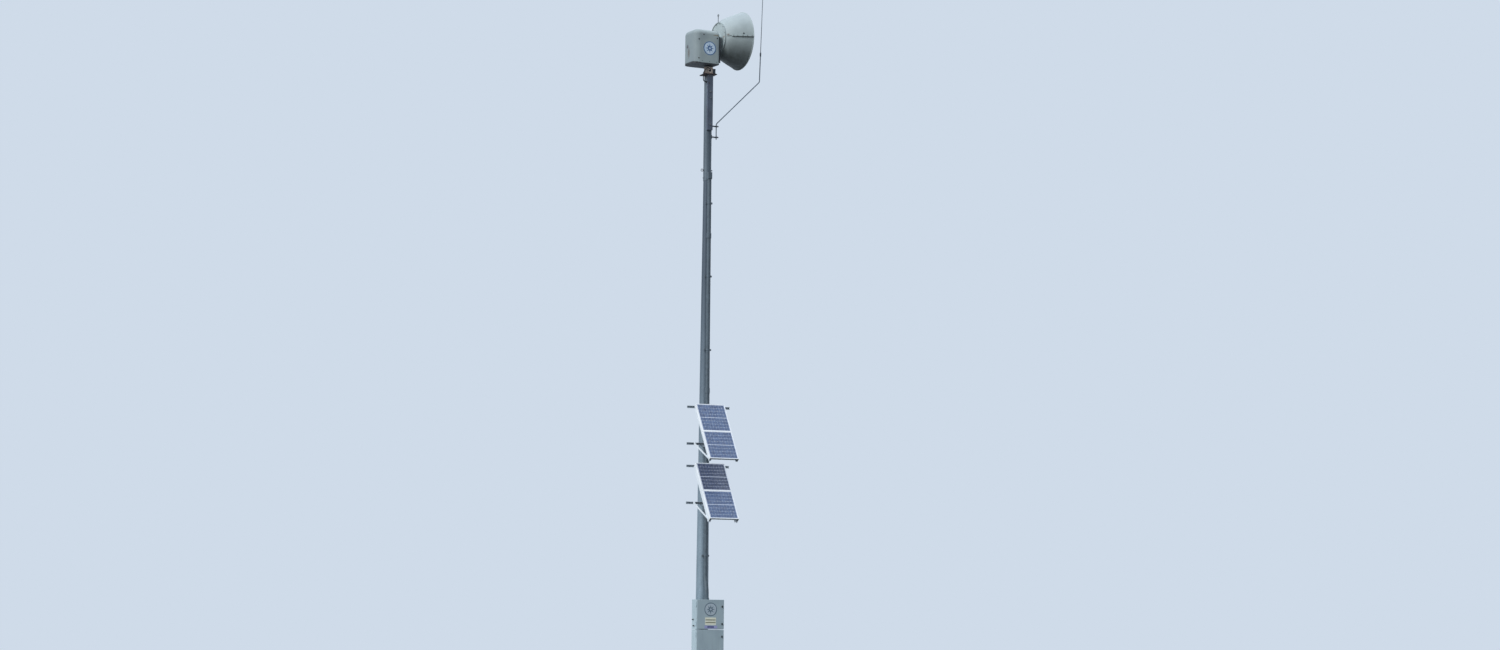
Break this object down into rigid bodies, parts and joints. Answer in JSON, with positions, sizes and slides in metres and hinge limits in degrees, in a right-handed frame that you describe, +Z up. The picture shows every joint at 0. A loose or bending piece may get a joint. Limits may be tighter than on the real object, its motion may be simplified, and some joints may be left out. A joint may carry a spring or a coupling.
{
  "type": "civil defense siren tower",
  "caption": "Rotating horn warning siren on a tapered round steel pole, with an offset whip antenna, tilted solar panels and hinged control cabinets.",
  "frame": {"origin": "centre of the base flange's lower face, on the pole's axis", "axes": "+Z up the pole; -Y towards the fronts of the cabinets and solar panels; +X towards the antenna, and the horn points 5.7 degrees from +X at rest"},
  "size_m": [1.4633, 1.5865, 13.1984],
  "materials": {
    "galvanised_steel": "weathered hot-dip galvanised, matte",
    "galvanised_strut": "galvanised strut channel, dull",
    "zinc_hardware": "zinc plated, tarnished",
    "dark_bracket": "dark weathered paint",
    "rusted_plate": "rusted dark steel plate",
    "rotator_paint": "beige paint with rust",
    "siren_shell": "weathered grey-green fibreglass gel coat",
    "stator_metal": "cast aluminium, dull",
    "black_jacket": "black weatherproof plastic",
    "conduit_grey": "dark grey coated conduit",
    "antenna_tube": "dull aluminium tube",
    "antenna_rod": "weathered fibreglass rod",
    "panel_aluminium": "clear anodised",
    "solar_glass": "solar cells under low-iron glass",
    "cabinet_paint": "light grey powder coat, semi-matte",
    "latch_metal": "black coated zinc"
  },
  "bodies": {
    "tower": {"base_flange": "galvanised_steel", "pole_lower": "galvanised_steel", "pole_upper": "galvanised_steel", "eye_bolt": "zinc_hardware", "siren_channel": "dark_bracket", "channel_bolts": "zinc_hardware", "mounting_plate": "rusted_plate", "rotator_base": "rotator_paint", "drive_gearbox": "dark_bracket", "flex_conduit": "black_jacket", "antenna_bracket": "dark_bracket", "antenna_mast": "antenna_tube", "antenna_whip": "antenna_rod", "conduit_riser": "conduit_grey", "conduit_hub": "conduit_grey", "conduit_elbow": "conduit_grey", "conduit_straps": "zinc_hardware", "cross_arms": "galvanised_strut", "pole_ubolts": "zinc_hardware", "pole_standoffs": "galvanised_strut", "panel_frames": "panel_aluminium", "panel_laminates": "solar_glass", "panel_rails": "galvanised_strut", "junction_boxes": "black_jacket", "panel_cleats": "galvanised_strut", "panel_struts": "galvanised_strut", "upper_cabinet": "cabinet_paint", "lower_cabinet": "cabinet_paint", "cabinet_rails": "galvanised_strut", "door_hinges": "zinc_hardware", "side_glands": "black_jacket"},
    "head": {"turntable": "dark_bracket", "chassis_pan": "dark_bracket", "housing_cover": "siren_shell", "horn_neck": "dark_bracket", "horn_back_plate": "siren_shell", "horn_upper": "siren_shell", "horn_lower": "siren_shell", "throat_stator": "stator_metal", "chopper_rotor": "stator_metal", "lifting_eye": "zinc_hardware"},
    "upper_door": {"upper_door": "cabinet_paint", "upper_latches": "latch_metal"},
    "lower_door": {"lower_door": "cabinet_paint", "lower_latches": "latch_metal"}
  },
  "joints": [
    {"name": "head_rotation", "type": "hinge", "parent": "tower", "child": "head", "pos_m": [0, 0, 11.36], "axis": [0, 0, 1], "continuous": true},
    {"name": "upper_door_swing", "type": "hinge", "parent": "tower", "child": "upper_door", "pos_m": [-0.26, -0.37162, 1.686], "axis": [0, 0, -1], "range_deg": [0, 110]},
    {"name": "lower_door_swing", "type": "hinge", "parent": "tower", "child": "lower_door", "pos_m": [-0.26, -0.37162, 1.068], "axis": [0, 0, -1], "range_deg": [0, 110]}
  ]
}
